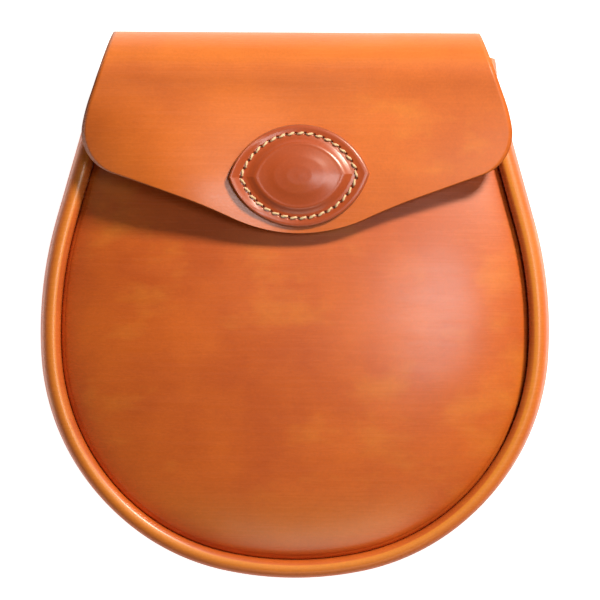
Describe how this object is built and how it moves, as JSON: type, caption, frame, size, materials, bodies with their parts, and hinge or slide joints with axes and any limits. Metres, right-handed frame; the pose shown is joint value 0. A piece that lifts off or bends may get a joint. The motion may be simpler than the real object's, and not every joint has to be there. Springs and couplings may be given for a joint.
{
  "type": "sporran pouch",
  "caption": "Round-bottomed leather sporran pouch with a raised roll around its domed front, a one-piece back and flap, and a stitched oval patch on the flap.",
  "frame": {"origin": "on the floor under the middle of the outline, with the pouch lying on its back", "axes": "+X to the right seen from the front, +Y towards the fold at the top, +Z out of the front"},
  "size_m": [0.186, 0.1984, 0.0542],
  "materials": {
    "tan_leather": "waxed smooth vegetable-tanned",
    "patch_leather": "moulded and polished",
    "stud_brass": "satin",
    "linen_thread": "waxed"
  },
  "bodies": {
    "root": {"back_and_flap": "tan_leather", "front_panel": "tan_leather", "gusset": "tan_leather", "flap_patch": "patch_leather", "press_stud": "stud_brass", "belt_loop_left": "tan_leather", "belt_loop_right": "tan_leather"}
  },
  "joints": []
}
